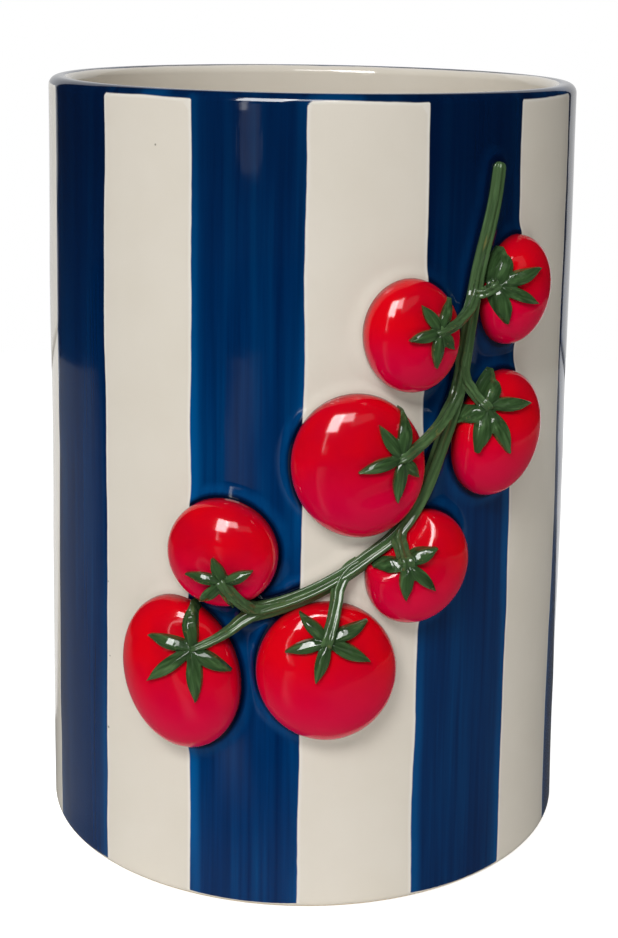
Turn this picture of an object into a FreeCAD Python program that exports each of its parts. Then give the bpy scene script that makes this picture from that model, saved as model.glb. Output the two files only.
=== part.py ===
# Utensil crock of glazed stoneware: a straight-walled jar with a spray of eight tomatoes in relief.
# The jar stands on its foot ring at z = 0, its axis is Z and the spray is on the -Y side.
import FreeCAD, Part
import math
import os
import Sketcher

doc = FreeCAD.newDocument("utensil_crock")

# Driving dimensions in millimetres. A name that ends in share is a share, and one that ends in turn is
# an angle in degrees.
sizes = {
    # The jar
    "outer_diameter": 130,
    "crock_height": 186,
    "wall_thickness": 5.5,
    "lip_round_share": 0.44,
    "floor_thickness": 8,
    "floor_corner_round": 10,
    "base_round": 2,
    "foot_ring_width": 9,
    "foot_recess_depth": 2.5,
    "foot_edge_round": 1,
    # The vine, from the fork at its lower left end to its cut tip below the rim
    "fork_height": 70.1,
    "fork_turn": 11,
    "spray_turn": 49.2,
    "vine_tip_gap": 19.4,
    "vine_diameter": 3.4,
    "vine_tip_diameter": 2.5,
    "vine_stand_off": 1.3,
    # The stalks, each from the vine to one tomato
    "stalk_diameter": 2.2,
    "stalk_root_diameter": 2.6,
    # The tomatoes, all of one swell above the wall
    "tomato_swell": 8,
    "tomato_stand_off": 1.5,
    # The calyxes, five leaves round a hub
    "leaf_thickness": 0.9,
    "leaf_width": 4,
    "leaf_clearance": 0.3,
    "calyx_hub_diameter": 5,
}
leaf_count = 5
side_leaf_share = 0.68

# Points along the vine as shares of its span along the wall and of its rise, from the fork to the tip
vine_shares = (
    (0, 0), (0.085, 0.015), (0.346, 0.089), (0.467, 0.139), (0.582, 0.192), (0.674, 0.26),
    (0.785, 0.428), (0.843, 0.534), (0.884, 0.693), (0.903, 0.752), (0.952, 0.87), (0.984, 0.95), (1, 1),
)

# Each tomato: its centre and its width and length as shares of the vine's span and rise, its lean in degrees,
# its calyx as shares of half its width and half its length, its leaves as a share of the mean of width and
# length, the vine point that its stalk grows from, and the neighbours it lies behind
tomatoes = {
    "low_left": {
        "centre_shares": (-0.284, -0.16), "size_shares": (0.506, 0.364), "lean": 12,
        "hub_shares": (0.39, 0.45), "leaf_share": 0.355, "vine_point": 0, "behind": (),
    },
    "low_right": {
        "centre_shares": (0.306, -0.131), "size_shares": (0.55, 0.329), "lean": 6,
        "hub_shares": (-0.016, 0.566), "leaf_share": 0.314, "vine_point": 2, "behind": ("low_left",),
    },
    "low_middle": {
        "centre_shares": (0.677, 0.098), "size_shares": (0.363, 0.277), "lean": -41,
        "hub_shares": (-0.54, 0.3), "leaf_share": 0.354, "vine_point": 4, "behind": ("low_right",),
    },
    "upper_left": {
        "centre_shares": (-0.106, 0.139), "size_shares": (0.444, 0.25), "lean": 0,
        "hub_shares": (0.167, -0.37), "leaf_share": 0.33, "vine_point": 1, "behind": ("low_left",),
    },
    "centre": {
        "centre_shares": (0.416, 0.35), "size_shares": (0.518, 0.331), "lean": 11,
        "hub_shares": (0.52, 0.165), "leaf_share": 0.322, "vine_point": 6, "behind": ("low_middle",),
    },
    "right_middle": {
        "centre_shares": (1.025, 0.394), "size_shares": (0.413, 0.298), "lean": -21,
        "hub_shares": (-0.47, 0.456), "leaf_share": 0.379, "vine_point": 7, "behind": ("low_middle",),
    },
    "upper": {
        "centre_shares": (0.617, 0.643), "size_shares": (0.384, 0.259), "lean": 6,
        "hub_shares": (0.284, 0.164), "leaf_share": 0.338, "vine_point": 8, "behind": ("centre",),
    },
    "top_right": {
        "centre_shares": (1.095, 0.727), "size_shares": (0.319, 0.256), "lean": -15,
        "hub_shares": (-0.63, 0.142), "leaf_share": 0.4, "vine_point": 9, "behind": ("right_middle",),
    },
}
vine_tip_cap_shares = (0.5, 0.6)
stalk_shares = (0, 0.25, 0.5, 0.75, 1)
stalk_proud_share = 0.6

sheet = doc.addObject("Spreadsheet::Sheet", "Sizes")
for row, (size_name, size_value) in enumerate(sizes.items(), start=1):
    sheet.set(f"A{row}", size_name)
    sheet.set(f"B{row}", str(size_value))
    sheet.setAlias(f"B{row}", size_name)
doc.recompute()

parts = []


def finished(feature, node):
    # Gives the last feature of a sub-part the name of its node
    feature.Label = node
    parts.append(feature)
    return feature


def origin_plane(body, role):
    return next(plane for plane in body.Origin.OriginFeatures if plane.Role == role)


def body_sketch(body, name, role):
    sketch = body.newObject("Sketcher::SketchObject", name)
    sketch.AttachmentSupport = [(origin_plane(body, role), "")]
    sketch.MapMode = "FlatFace"
    return sketch


def bound(sketch, kind, elements, name, expression, value):
    # A sketch dimension that follows the sheet
    index = sketch.addConstraint(Sketcher.Constraint(kind, *elements, value))
    sketch.renameConstraint(index, name)
    sketch.setExpression(f"Constraints.{name}", expression)


def circle_edges(shape, radius, height):
    # Names of the round edges of one radius at one height
    names = []
    for number, edge in enumerate(shape.Edges, start=1):
        curve = edge.Curve
        if isinstance(curve, Part.Circle):
            same_radius = math.isclose(curve.Radius, radius, abs_tol=Part.Precision.confusion())
            if same_radius and math.isclose(curve.Center.z, height, abs_tol=Part.Precision.confusion()):
                names.append(f"Edge{number}")
    return names


# The jar: a half profile turned about the axis, with a rounded lip, a coved floor and a foot ring
def make_crock_body():
    outer_radius = sheet.outer_diameter / 2
    inner_radius = outer_radius - sheet.wall_thickness
    foot_radius = outer_radius - sheet.foot_ring_width
    floor_top = sheet.foot_recess_depth + sheet.floor_thickness
    corners = (
        (0, sheet.foot_recess_depth),
        (foot_radius, sheet.foot_recess_depth),
        (foot_radius, 0),
        (outer_radius, 0),
        (outer_radius, sheet.crock_height),
        (inner_radius, sheet.crock_height),
        (inner_radius, floor_top),
        (0, floor_top),
    )
    body = doc.addObject("PartDesign::Body", "crock")
    profile = body_sketch(body, "crock_profile", "XZ_Plane")
    points = [FreeCAD.Vector(radius, height, 0) for radius, height in corners]
    for index, point in enumerate(points):
        profile.addGeometry(Part.LineSegment(point, points[(index + 1) % len(points)]))
    for index in range(len(points)):
        profile.addConstraint(Sketcher.Constraint("Coincident", index, 2, (index + 1) % len(points), 1))
        level = "Horizontal" if index % 2 == 0 else "Vertical"
        profile.addConstraint(Sketcher.Constraint(level, index))
    profile.addConstraint(Sketcher.Constraint("PointOnObject", 0, 1, -2))
    profile.addConstraint(Sketcher.Constraint("PointOnObject", 2, 1, -1))
    bound(profile, "DistanceX", (-1, 1, 2, 2), "outside", "Sizes.outer_diameter / 2", outer_radius)
    bound(profile, "DistanceY", (3, 1, 3, 2), "tall", "Sizes.crock_height", sheet.crock_height)
    bound(profile, "DistanceX", (4, 2, 4, 1), "wall", "Sizes.wall_thickness", sheet.wall_thickness)
    bound(profile, "DistanceX", (2, 1, 2, 2), "ring", "Sizes.foot_ring_width", sheet.foot_ring_width)
    bound(profile, "DistanceY", (1, 2, 1, 1), "recess", "Sizes.foot_recess_depth", sheet.foot_recess_depth)
    bound(profile, "DistanceY", (0, 2, 5, 2), "floor", "Sizes.floor_thickness", sheet.floor_thickness)
    turned = body.newObject("PartDesign::Revolution", "crock_turned")
    turned.Profile = profile
    turned.ReferenceAxis = (profile, ["V_Axis"])
    doc.recompute()
    rounds = (
        ("crock_lip", "Sizes.wall_thickness * Sizes.lip_round_share",
         ((outer_radius, sheet.crock_height), (inner_radius, sheet.crock_height))),
        ("crock_cove", "Sizes.floor_corner_round", ((inner_radius, floor_top),)),
        ("crock_base", "Sizes.base_round", ((outer_radius, 0),)),
        ("crock_foot", "Sizes.foot_edge_round", ((foot_radius, 0),)),
    )
    shaped = turned
    for name, radius, circles in rounds:
        edges = [edge for circle in circles for edge in circle_edges(shaped.Shape, *circle)]
        fillet = body.newObject("PartDesign::Fillet", name)
        fillet.Base = (shaped, edges)
        fillet.setExpression("Radius", radius)
        doc.recompute()
        shaped = fillet
    return finished(body, "crock_body")


# Places on the wall, as expressions: a distance along the wall from its front line, a height and a stand-off
def turn_at(arc):
    return f"({arc}) / Sizes.outer_diameter * 360 deg / pi"


def wall_point(arc, out, up):
    radius = f"(Sizes.outer_diameter / 2 + {out})"
    return f"vector({radius} * sin({turn_at(arc)}); -{radius} * cos({turn_at(arc)}); {up})"


def facing_out(arc, spin):
    # Stands a piece's own Z axis square to the wall and spins it there
    upright = f"rotation(vector(0; 0; 1); {turn_at(arc)}) * rotation(vector(1; 0; 0); 90 deg)"
    return f"{upright} * rotation(vector(0; 0; 1); {spin})"


def arc_of(turn):
    # Length along the wall of a turn in degrees
    return f"({turn}) * Sizes.outer_diameter * pi / 360"


spray_rise = "(Sizes.crock_height - Sizes.vine_tip_gap - Sizes.fork_height)"


def spray_place(shares):
    arc = arc_of(f"{shares[0]} * Sizes.spray_turn - Sizes.fork_turn")
    return f"({arc})", f"(Sizes.fork_height + {shares[1]} * {spray_rise})"


def half(size_name):
    return f"Sizes.{size_name} / 2"


def half_size(values):
    # Half the width and half the length of one tomato
    width_share, length_share = values["size_shares"]
    return f"({arc_of(f'{width_share / 2} * Sizes.spray_turn')})", f"({length_share / 2} * {spray_rise})"


def leaf_reach(values):
    half_width, half_length = half_size(values)
    return f"({values['leaf_share']} * ({half_width} + {half_length}))"


def tube(name, stations):
    # A stem through rings given as (along the wall, stand-off, height, radius)
    rings = []
    for index, (arc, out, up, radius) in enumerate(stations):
        before = stations[max(index - 1, 0)]
        after = stations[min(index + 1, len(stations) - 1)]
        heading = f"atan2({after[0]} - {before[0]}; {after[2]} - {before[2]})"
        along = f"rotation(vector(0; 0; 1); {turn_at(arc)}) * rotation(vector(0; 1; 0); {heading})"
        ring = doc.addObject("Part::Circle", f"{name}_ring_{index}")
        ring.setExpression("Radius", radius)
        ring.setExpression("Placement", f"placement({wall_point(arc, out, up)}; {along})")
        rings.append(ring)
    stem = doc.addObject("Part::Loft", f"{name}_tube")
    stem.Sections = rings
    stem.Solid = True
    return stem


def trimmed(name, piece, tools):
    # Cuts a piece back to the faces of the pieces that it seats against
    for tool in tools:
        seat = doc.addObject("Part::Cut", f"{name}_off_{tool.Name}")
        seat.Base = piece
        seat.Tool = tool
        piece = seat
    return finished(piece, name)


# The solid jar without its hollow, which trims the backs of the vine and the tomatoes to the wall
def make_wall():
    wall = doc.addObject("Part::Cylinder", "wall")
    wall.setExpression("Radius", "Sizes.outer_diameter / 2")
    wall.setExpression("Height", "Sizes.crock_height")
    return wall


def make_vine():
    stations = []
    for index, shares in enumerate(vine_shares):
        arc, up = spray_place(shares)
        ripe = index / (len(vine_shares) - 1)
        radius = f"({half('vine_diameter')} * (1 - {ripe}) + {half('vine_tip_diameter')} * {ripe})"
        stations.append((arc, "Sizes.vine_stand_off", up, radius))
    arc, out, up, radius = stations[-1]
    cap_radius_share, cap_rise_share = vine_tip_cap_shares
    cap_up = f"({up} + {half('vine_tip_diameter')} * {cap_rise_share})"
    stations.append((arc, out, cap_up, f"{radius} * {cap_radius_share}"))
    return tube("vine", stations), stations


def hub_place(values):
    arc, up = spray_place(values["centre_shares"])
    across, along = values["hub_shares"]
    half_width, half_length = half_size(values)
    return f"({arc} + {across} * {half_width})", f"({up} + {along} * {half_length})"


def arch_height(values, arc, up):
    # How far a stalk stands off the wall at a place: over one tomato's shoulder, then down past its edge
    centre_arc, centre_up = spray_place(values["centre_shares"])
    lean = f"{values['lean']} deg"
    across = f"(({arc} - {centre_arc}) * cos({lean}) + ({up} - {centre_up}) * sin({lean}))"
    along = f"(({up} - {centre_up}) * cos({lean}) - ({arc} - {centre_arc}) * sin({lean}))"
    half_width, half_length = (f"({size} + Sizes.stalk_diameter)" for size in half_size(values))
    inside = f"1 - ({across} / {half_width}) ^ 2 - ({along} / {half_length}) ^ 2"
    return f"(Sizes.tomato_stand_off + Sizes.tomato_swell * sqrt(max(0; {inside})))"


def make_dome(name, values, skin):
    # The swelling of one tomato, or that swelling grown by a skin
    arc, up = spray_place(values["centre_shares"])
    half_width, half_length = half_size(values)
    dome = doc.addObject("Part::Ellipsoid", name)
    dome.setExpression("Radius1", f"Sizes.tomato_swell + {skin}")
    dome.setExpression("Radius2", f"{half_width} + {skin}")
    dome.setExpression("Radius3", f"{half_length} + {skin}")
    place = wall_point(arc, "Sizes.tomato_stand_off", up)
    dome.setExpression("Placement", f"placement({place}; {facing_out(arc, str(values['lean']) + ' deg')})")
    return dome


# A calyx seen square to the wall: a hub and leaves of two arcs each, with room left for the stalk, and
# shorter leaves on both sides of it
def make_star(fruit, values, stalk_heading):
    length = sheet.evalExpression(leaf_reach(values))
    width = sheet.leaf_width
    body = doc.addObject("PartDesign::Body", f"{fruit}_star")
    depth = "Sizes.tomato_swell + Sizes.tomato_stand_off + Sizes.leaf_thickness"
    hub_sketch = body_sketch(body, f"{fruit}_hub_sketch", "XY_Plane")
    hub_radius = sheet.calyx_hub_diameter / 2
    hub_sketch.addGeometry(Part.Circle(FreeCAD.Vector(), FreeCAD.Vector(0, 0, 1), hub_radius))
    hub_sketch.addConstraint(Sketcher.Constraint("Coincident", 0, 3, -1, 1))
    bound(hub_sketch, "Radius", (0,), "hub", half("calyx_hub_diameter"), hub_radius)
    hub = body.newObject("PartDesign::Pad", f"{fruit}_hub")
    hub.Profile = hub_sketch
    hub.setExpression("Length", depth)
    leaf_step = 360 / (leaf_count + 1)
    rows = (
        ("leaf", 1, 2 * leaf_step, leaf_count - 2, (leaf_count - 3) * leaf_step),
        ("side_leaf", side_leaf_share, leaf_step, 2, (leaf_count - 1) * leaf_step),
    )
    for name, size_share, first_turn, count, swing in rows:
        leaf_sketch = body_sketch(body, f"{fruit}_{name}_sketch", "XY_Plane")
        leaf_sketch.AttachmentOffset.Rotation = FreeCAD.Rotation(FreeCAD.Vector(0, 0, 1), first_turn)
        tip = FreeCAD.Vector(size_share * length, 0, 0)
        for side in (1, -1):
            bulge = FreeCAD.Vector(size_share * length / 2, side * size_share * width / 2, 0)
            leaf_sketch.addGeometry(Part.Arc(FreeCAD.Vector(), bulge, tip))
        leaf_sketch.addConstraint(Sketcher.Constraint("Coincident", 0, 2, -1, 1))
        leaf_sketch.addConstraint(Sketcher.Constraint("Coincident", 1, 1, -1, 1))
        leaf_sketch.addConstraint(Sketcher.Constraint("Coincident", 0, 1, 1, 2))
        leaf_sketch.addConstraint(Sketcher.Constraint("PointOnObject", 0, 1, -1))
        leaf_sketch.addConstraint(Sketcher.Constraint("Equal", 0, 1))
        reach = f"{size_share} * {leaf_reach(values)}"
        bound(leaf_sketch, "DistanceX", (-1, 1, 0, 1), "reach", reach, size_share * length)
        curve = f"{size_share} * ({leaf_reach(values)} ^ 2 + Sizes.leaf_width ^ 2) / (4 * Sizes.leaf_width)"
        curve_value = size_share * (length ** 2 + width ** 2) / (4 * width)
        bound(leaf_sketch, "Radius", (0,), "curve", curve, curve_value)
        leaf = body.newObject("PartDesign::Pad", f"{fruit}_{name}")
        leaf.Profile = leaf_sketch
        leaf.setExpression("Length", depth)
        leaves = body.newObject("PartDesign::PolarPattern", f"{fruit}_{name}_row")
        leaves.Originals = [leaf]
        leaves.Axis = (leaf_sketch, ["N_Axis"])
        leaves.Angle = swing
        leaves.Occurrences = count
        body.Tip = leaves
    hub_arc, hub_up = hub_place(values)
    above_vine = f"Sizes.vine_stand_off + {half('vine_diameter')} + Sizes.leaf_clearance"
    place = wall_point(hub_arc, above_vine, hub_up)
    body.setExpression("Placement", f"placement({place}; {facing_out(hub_arc, stalk_heading)})")
    return body


def make_relief():
    wall = make_wall()
    vine, stations = make_vine()
    trimmed("vine_stem", vine, [wall])
    domes = {fruit: make_dome(f"{fruit}_dome", values, "0") for fruit, values in tomatoes.items()}
    for fruit, values in tomatoes.items():
        dome = domes[fruit]
        fronts = [domes[other] for other in values["behind"]]
        trimmed(f"tomato_{fruit}", dome, [wall, vine] + fronts)
        neighbours = [domes[other] for other in tomatoes
                      if other in values["behind"] or fruit in tomatoes[other]["behind"]]

        hub_arc, hub_up = hub_place(values)
        foot_arc, _, foot_up, _ = stations[values["vine_point"]]
        heading = f"atan2({foot_up} - {hub_up}; {foot_arc} - {hub_arc})"
        star = make_star(fruit, values, heading)
        skin = make_dome(f"{fruit}_skin", values, "Sizes.leaf_thickness")
        wrapped = doc.addObject("Part::Common", f"{fruit}_wrapped")
        wrapped.Base = star
        wrapped.Tool = skin
        trimmed(f"calyx_{fruit}", wrapped, [dome] + neighbours)

        rings = []
        for share in stalk_shares:
            arc = f"({hub_arc} + ({foot_arc} - {hub_arc}) * {share})"
            up = f"({hub_up} + ({foot_up} - {hub_up}) * {share})"
            radius = f"({half('stalk_root_diameter')} * {1 - share} + {half('stalk_diameter')} * {share})"
            over = f"({arch_height(values, arc, up)} + Sizes.leaf_thickness + {radius} * {stalk_proud_share})"
            down = share ** 2
            rings.append((arc, f"({over} * {1 - down} + Sizes.vine_stand_off * {down})", up, radius))
        stalk = tube(f"{fruit}_stalk", rings)
        trimmed(f"stalk_{fruit}", stalk, [vine, skin])


make_crock_body()
make_relief()
doc.recompute()

failed = [item.Label for item in doc.Objects if {"Invalid", "Error"} & set(item.State)]
empty = [item.Label for item in parts if item.Shape.isNull() or not item.Shape.isValid()]
if failed or empty:
    raise RuntimeError(f"failed features {failed}, empty or invalid sub-parts {empty}")

os.makedirs("parts", exist_ok=True)
for item in parts:
    item.Shape.exportStep(f"parts/{item.Label}.step")
    print(item.Label, "solids", len(item.Shape.Solids), "volume", round(item.Shape.Volume, 2))
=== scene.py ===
import bmesh
import bpy
import math
from functools import partial
from mathutils import Matrix, Vector, noise


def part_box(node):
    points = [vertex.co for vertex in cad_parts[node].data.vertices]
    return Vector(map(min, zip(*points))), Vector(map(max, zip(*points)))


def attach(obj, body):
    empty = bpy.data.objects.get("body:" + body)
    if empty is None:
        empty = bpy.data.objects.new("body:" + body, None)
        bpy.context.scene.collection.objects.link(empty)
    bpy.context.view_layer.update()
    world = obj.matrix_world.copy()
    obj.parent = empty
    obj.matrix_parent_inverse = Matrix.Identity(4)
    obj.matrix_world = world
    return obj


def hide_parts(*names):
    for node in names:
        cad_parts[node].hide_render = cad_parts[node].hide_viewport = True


# Looks of a glazed stoneware utensil crock: blue and cream stripes, and a vine of tomatoes in relief.
# The relief is modelled flat, as if the wall were unrolled: x runs along it, z is height and -y stands out.
# wrapOnWall then rolls each piece round the jar. Sizes are in millimetres until mm turns them to metres.
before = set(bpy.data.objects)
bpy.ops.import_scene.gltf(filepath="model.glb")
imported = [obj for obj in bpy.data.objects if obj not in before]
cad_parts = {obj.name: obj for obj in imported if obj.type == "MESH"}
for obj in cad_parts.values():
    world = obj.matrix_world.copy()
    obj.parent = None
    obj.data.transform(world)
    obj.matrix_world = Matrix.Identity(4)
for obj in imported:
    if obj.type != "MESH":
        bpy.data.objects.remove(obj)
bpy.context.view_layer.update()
print("frame:", len(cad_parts), "CAD nodes")

mm = 0.001
perMm = 1 / mm  # a pattern's scale is this over its size in millimetres
jarLow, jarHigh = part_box("crock_body")
jarHeight = jarHigh.z / mm
wallRadius = (jarHigh.x - jarLow.x) / 2 / mm


# Small helpers

def setMode(mode):
    bpy.ops.object.mode_set(mode=mode)


def clearSelection():
    if bpy.context.mode != "OBJECT":
        setMode("OBJECT")
    bpy.ops.object.select_all(action="DESELECT")


def makeActive(piece):
    clearSelection()
    piece.select_set(True)
    bpy.context.view_layer.objects.active = piece


def pick(piece, kind, test):
    # selects the vertices, edges or faces that pass a test, in edit mode
    bpy.ops.mesh.select_mode(type=kind)
    bpy.ops.mesh.select_all(action="DESELECT")
    bm = bmesh.from_edit_mesh(piece.data)
    for item in {"VERT": bm.verts, "EDGE": bm.edges, "FACE": bm.faces}[kind]:
        item.select_set(bool(test(item)))
    bm.select_flush_mode()
    bmesh.update_edit_mesh(piece.data)


def addObject(name, data):
    piece = bpy.data.objects.new(name, data)
    bpy.context.scene.collection.objects.link(piece)
    return piece


def extrude(x, y, z):
    # draws the picked faces out, in millimetres
    bpy.ops.mesh.extrude_region_move(TRANSFORM_OT_translate={"value": (x * mm, y * mm, z * mm)})


def applyPlace():
    bpy.ops.object.transform_apply(location=True, rotation=True, scale=True)


def applyModifier(piece, kind, **settings):
    makeActive(piece)
    modifier = piece.modifiers.new(kind.title(), kind)
    for name, value in settings.items():
        setattr(modifier, name, value)
    bpy.ops.object.modifier_apply(modifier=modifier.name)


def smoothShade(piece, degrees):
    makeActive(piece)
    bpy.ops.object.shade_smooth_by_angle(angle=math.radians(degrees))


def writeValues(piece, name, values):
    # one number for each vertex, for the glaze to read
    attribute = piece.data.attributes.new(name, "FLOAT", "POINT")
    attribute.data.foreach_set("value", values)


def settle(piece, material, slot, *nodes):
    # finish and body of a piece that stands for CAD nodes
    piece.data.materials.clear()
    piece.data.materials.append(material)
    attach(piece, "root")
    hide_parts(*nodes)


def wrapOnWall(piece):
    # rolls a flat piece round the jar
    for vertex in piece.data.vertices:
        along, out, up = vertex.co.x / mm, -vertex.co.y / mm, vertex.co.z
        turn = along / wallRadius
        radius = (wallRadius + out) * mm
        vertex.co = (radius * math.sin(turn), -radius * math.cos(turn), up)
    piece.data.update()


def smoothStep(low, high, value):
    share = min(max((value - low) / (high - low), 0), 1)
    return share * share * (3 - 2 * share)


def softMin(first, second, blend):
    share = min(max(0.5 + (second - first) / (2 * blend), 0), 1)
    return second + (first - second) * share - blend * share * (1 - share)


# Colours and nodes

def hexColour(text):
    # sRGB hex to linear
    parts = [int(text[index:index + 2], 16) / 255 for index in (1, 3, 5)]
    linear = [part / 12.92 if part <= 0.04045 else ((part + 0.055) / 1.055) ** 2.4 for part in parts]
    return (*linear, 1)


def setInputs(material, node, inputs):
    # an input takes a number, a hex colour, or the node or socket that feeds it
    for name, value in inputs.items():
        if isinstance(value, bpy.types.Node):
            value = next(socket for socket in value.outputs if socket.enabled)
        if isinstance(value, bpy.types.NodeSocket):
            material.node_tree.links.new(value, node.inputs[name])
        else:
            node.inputs[name].default_value = hexColour(value) if isinstance(value, str) else value


def addNode(material, kind, inputs=None, stops=(), **settings):
    # one node with its settings, its inputs and the stops of its colour ramp, if it has one
    node = material.node_tree.nodes.new("ShaderNode" + kind)
    for name, value in settings.items():
        setattr(node, name, value)
    setInputs(material, node, inputs or {})
    for position, colour in stops:
        node.color_ramp.elements.new(position).color = hexColour(colour)
    for end in (-1, 0) if stops else ():  # the two ends that a new ramp has
        node.color_ramp.elements.remove(node.color_ramp.elements[end])
    return node


smooth = {"interpolation_type": "SMOOTHSTEP"}
inColour = {"data_type": "RGBA"}


def newMaterial(name):
    # a material, its shader and addNode bound to it
    material = bpy.data.materials.new(name)
    material.use_nodes = True
    return material, material.node_tree.nodes["Principled BSDF"], partial(addNode, material)


# The spray: places of the fruit on the unrolled wall

# arc and up place the middle of a fruit, hub its calyx, lean tips its top to the left, in degrees.
# foot is the vine point that a stalk leaves, stalkWidths are at the vine and at the calyx, and lead is how
# far the stalk runs in the vine. Each leaf has its turn from upright, clockwise in degrees, and its length.
fruits = {
    "low_left": {"arc": -28.3, "up": 55.3, "width": 28.1, "length": 35.4, "lean": 13,
                 "hub": (-22.8, 63.5), "foot": (-11.6, 71.4), "stalkWidths": (3.3, 1.6), "lead": 6.5,
                 "leaves": ((-12, 10.7), (-75, 10.3), (-129, 12.7), (169, 12.3), (122, 9.7))},
    "low_right": {"arc": 4.7, "up": 58.3, "width": 30.7, "length": 32.0, "lean": 8,
                  "hub": (4.4, 67.6), "foot": (7.4, 80.2), "stalkWidths": (3.0, 2.8), "lead": 5.0,
                  "leaves": ((-45, 8.4), (-106, 9.4), (-167, 9.8), (120, 10.3), (67, 9.8))},
    "low_middle": {"arc": 24.6, "up": 81.3, "width": 22.9, "length": 26.3, "lean": -28,
                   "hub": (20.0, 84.4), "foot": (19.8, 89.4), "stalkWidths": (3.4, 3.2), "lead": 4.0,
                   "leaves": ((64, 7.3), (139, 8.8), (-174, 8.8), (-107, 6.9))},
    "upper_left": {"arc": -18.4, "up": 84.6, "width": 24.8, "length": 24.3, "lean": 0,
                   "hub": (-16.2, 80.1), "foot": (-10.2, 71.9), "stalkWidths": (3.2, 2.4), "lead": 6.5,
                   "leaves": ((-16, 6.5), (-77, 8.3), (-139, 8.8), (168, 7.3), (65, 7.1))},
    "centre": {"arc": 10.9, "up": 105.2, "width": 29.0, "length": 32.3, "lean": 11,
               "hub": (18.5, 108.1), "foot": (33.0, 117.8), "stalkWidths": (3.1, 2.4), "lead": 5.0,
               "leaves": ((10, 11.0), (-35, 9.7), (-100, 10.0), (-176, 10.4), (138, 6.5))},
    "right_middle": {"arc": 44.8, "up": 109.4, "width": 23.0, "length": 29.0, "lean": -21,
                     "hub": (38.1, 117.4), "foot": (34.6, 124.2), "stalkWidths": (2.9, 2.4), "lead": 5.0,
                     "leaves": ((37, 9.3), (88, 10.8), (159, 12.0), (-168, 11.2), (-128, 7.2))},
    "upper": {"arc": 22.0, "up": 133.8, "width": 21.4, "length": 25.3, "lean": 6,
              "hub": (25.3, 135.8), "foot": (37.4, 140.6), "stalkWidths": (2.8, 2.3), "lead": 4.5,
              "leaves": ((28, 8.3), (-28, 7.3), (-107, 7.1), (-173, 8.7), (140, 5.9))},
    "top_right": {"arc": 48.6, "up": 141.9, "width": 17.7, "length": 25.0, "lean": -15,
                  "hub": (40.4, 143.9), "foot": (37.5, 142.4), "stalkWidths": (3.0, 2.6), "lead": 2.0,
                  "leaves": ((26, 9.6), (64, 10.3), (115, 9.5), (171, 9.3))},
}
dome = {"swell": 8.0, "standOff": 1.5, "fullness": 2.25, "dimpleDepth": 1.3, "dimpleWidth": 6.2,
        "lobes": 5, "lobeDepth": 0.3, "lobeStart": 4, "lobeReach": 9.0, "edgeFade": 0.7, "sink": 0.4}
# a soft fold below the calyx of the centre fruit, which comes in over the first half of its path
fold = {"path": ((7.8, 98.7), (19.1, 102.6)), "depth": 0.7, "width": 2.2}
# the low middle fruit is tucked in under the vine: its height there, and how its base is drawn clear
tuck = {"height": 2.2, "slope": 1.5, "start": 1.2, "blend": 0.8, "clear": 0.5, "pulls": 40, "pull": 0.03}

# the vine from its fork at the lower left to its cut tip
# forkPoint runs it out between two stalks: left, in, down and share of its width
vine = {"path": ((-12.1, 71.2), (-3.5, 74.3), (5.1, 78.7), (13.6, 84.4), (20.0, 89.4), (24.9, 96.2),
                 (29.6, 107.4), (33.9, 120.6), (36.5, 136.2), (38.5, 147.2), (42.3, 161.7), (43.5, 169.7)),
        "width": 3.6, "tipWidth": 2.6, "standOff": 1.4, "ridges": 5, "ridgeDepth": 0.2, "twist": 1.2,
        "forkPoint": ((2.4, 0.8, 0.9, 0.15), (1.2, 0.3, 0.45, 0.6)), "tipHeading": (0.1, 0.95)}


def besidePath(path, along, up):
    # signed distance to a path, positive below and to the right of it, and the run along it
    best, run = None, 0
    length = 0
    for (startAlong, startUp), (endAlong, endUp) in zip(path, path[1:]):
        stepAlong, stepUp = endAlong - startAlong, endUp - startUp
        step = math.hypot(stepAlong, stepUp)
        share = ((along - startAlong) * stepAlong + (up - startUp) * stepUp) / step ** 2
        share = min(max(share, 0), 1)
        offAlong = along - startAlong - share * stepAlong
        offUp = up - startUp - share * stepUp
        distance = math.hypot(offAlong, offUp)
        if best is None or distance < abs(best):
            best = math.copysign(distance, offAlong * stepUp - offUp * stepAlong)
            run = length + share * step
        length += step
    return best, run


def vineSide(along, up):
    return besidePath(vine["path"], along, up)[0]


def vinePoint(run):
    # the place on the vine at a run from its fork
    for start, end in zip(vine["path"], vine["path"][1:]):
        step = math.dist(start, end)
        if run <= step:
            break
        run -= step
    return tuple(low + (high - low) * run / step for low, high in zip(start, end))


def fruitShare(fruit, along, up):
    # 0 at the middle of a fruit and 1 at its outline
    lean = math.radians(fruit["lean"])
    offAlong, offUp = along - fruit["arc"], up - fruit["up"]
    across = offAlong * math.cos(lean) + offUp * math.sin(lean)
    lengthwise = offUp * math.cos(lean) - offAlong * math.sin(lean)
    return math.hypot(across / fruit["width"] * 2, lengthwise / fruit["length"] * 2)


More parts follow.
